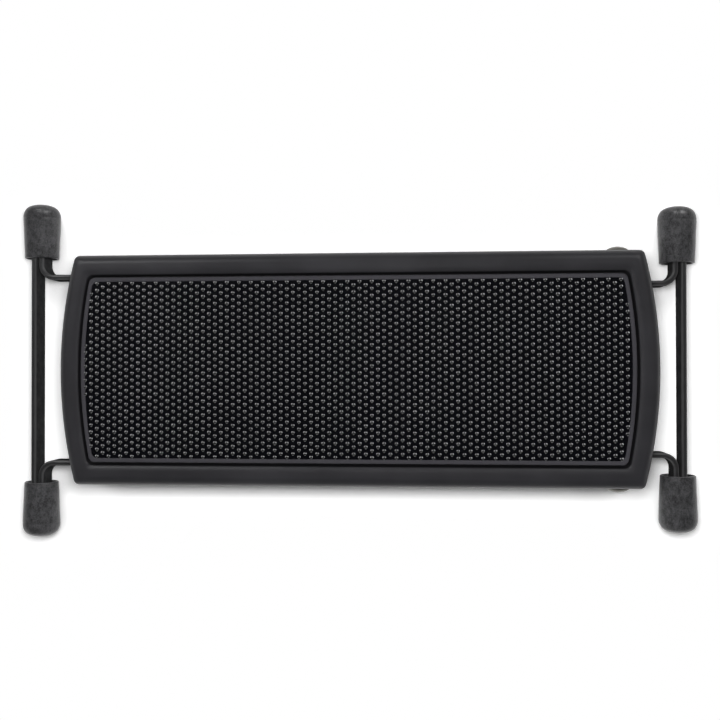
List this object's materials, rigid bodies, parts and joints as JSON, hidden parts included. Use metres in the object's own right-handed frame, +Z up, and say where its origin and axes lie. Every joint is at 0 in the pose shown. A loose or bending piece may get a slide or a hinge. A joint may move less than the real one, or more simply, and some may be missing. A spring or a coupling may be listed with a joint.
{
  "type": "guitar footrest",
  "caption": "Folding guitar footrest: a pressed steel deck with a dotted rubber mat on crossed strip steel frames that latch at several heights and stand on round rubber feet.",
  "frame": {"origin": "on the floor below the centre rivets, at the middle of the folded footrest", "axes": "+X along the deck towards its pivoted end, +Y across it, +Z up"},
  "size_m": [0.3248, 0.1632, 0.0284],
  "materials": {
    "deck_paint": "satin black paint",
    "strip_paint": "satin black paint",
    "mat_rubber": "moulded black rubber with domes",
    "foot_rubber": "scuffed black rubber",
    "dark_rivet": "dark plated",
    "plated_steel": "zinc plated",
    "rod_steel": "bright drawn"
  },
  "bodies": {
    "deck": {"deck_pan": "deck_paint", "tread_mat": "mat_rubber", "notch_rack_back": "strip_paint", "notch_rack_front": "strip_paint", "pivot_rivet_back": "dark_rivet", "pivot_rivet_front": "dark_rivet", "pivot_spacer_back": "plated_steel", "pivot_spacer_front": "plated_steel"},
    "outer_legs": {"outer_frame": "strip_paint", "outer_foot_back": "foot_rubber", "outer_foot_front": "foot_rubber", "centre_rivet_back": "dark_rivet", "centre_rivet_front": "dark_rivet", "centre_washer_back": "plated_steel", "centre_washer_front": "plated_steel", "backing_washer_back": "plated_steel", "backing_washer_front": "plated_steel"},
    "inner_legs": {"inner_frame": "strip_paint", "latch_rod": "rod_steel", "inner_foot_back": "foot_rubber", "inner_foot_front": "foot_rubber"}
  },
  "joints": [
    {"name": "fold", "type": "hinge", "parent": "deck", "child": "outer_legs", "pos_m": [0.1259, 0, 0.0089], "axis": [0, -1, 0], "range_deg": [0, 38]},
    {"name": "cross", "type": "hinge", "parent": "outer_legs", "child": "inner_legs", "pos_m": [0, 0, 0.0089], "axis": [0, 1, 0], "range_deg": [0, 76]}
  ],
  "couplings": [
    {"joint": "cross", "follows": "fold", "ratio": 2}
  ]
}
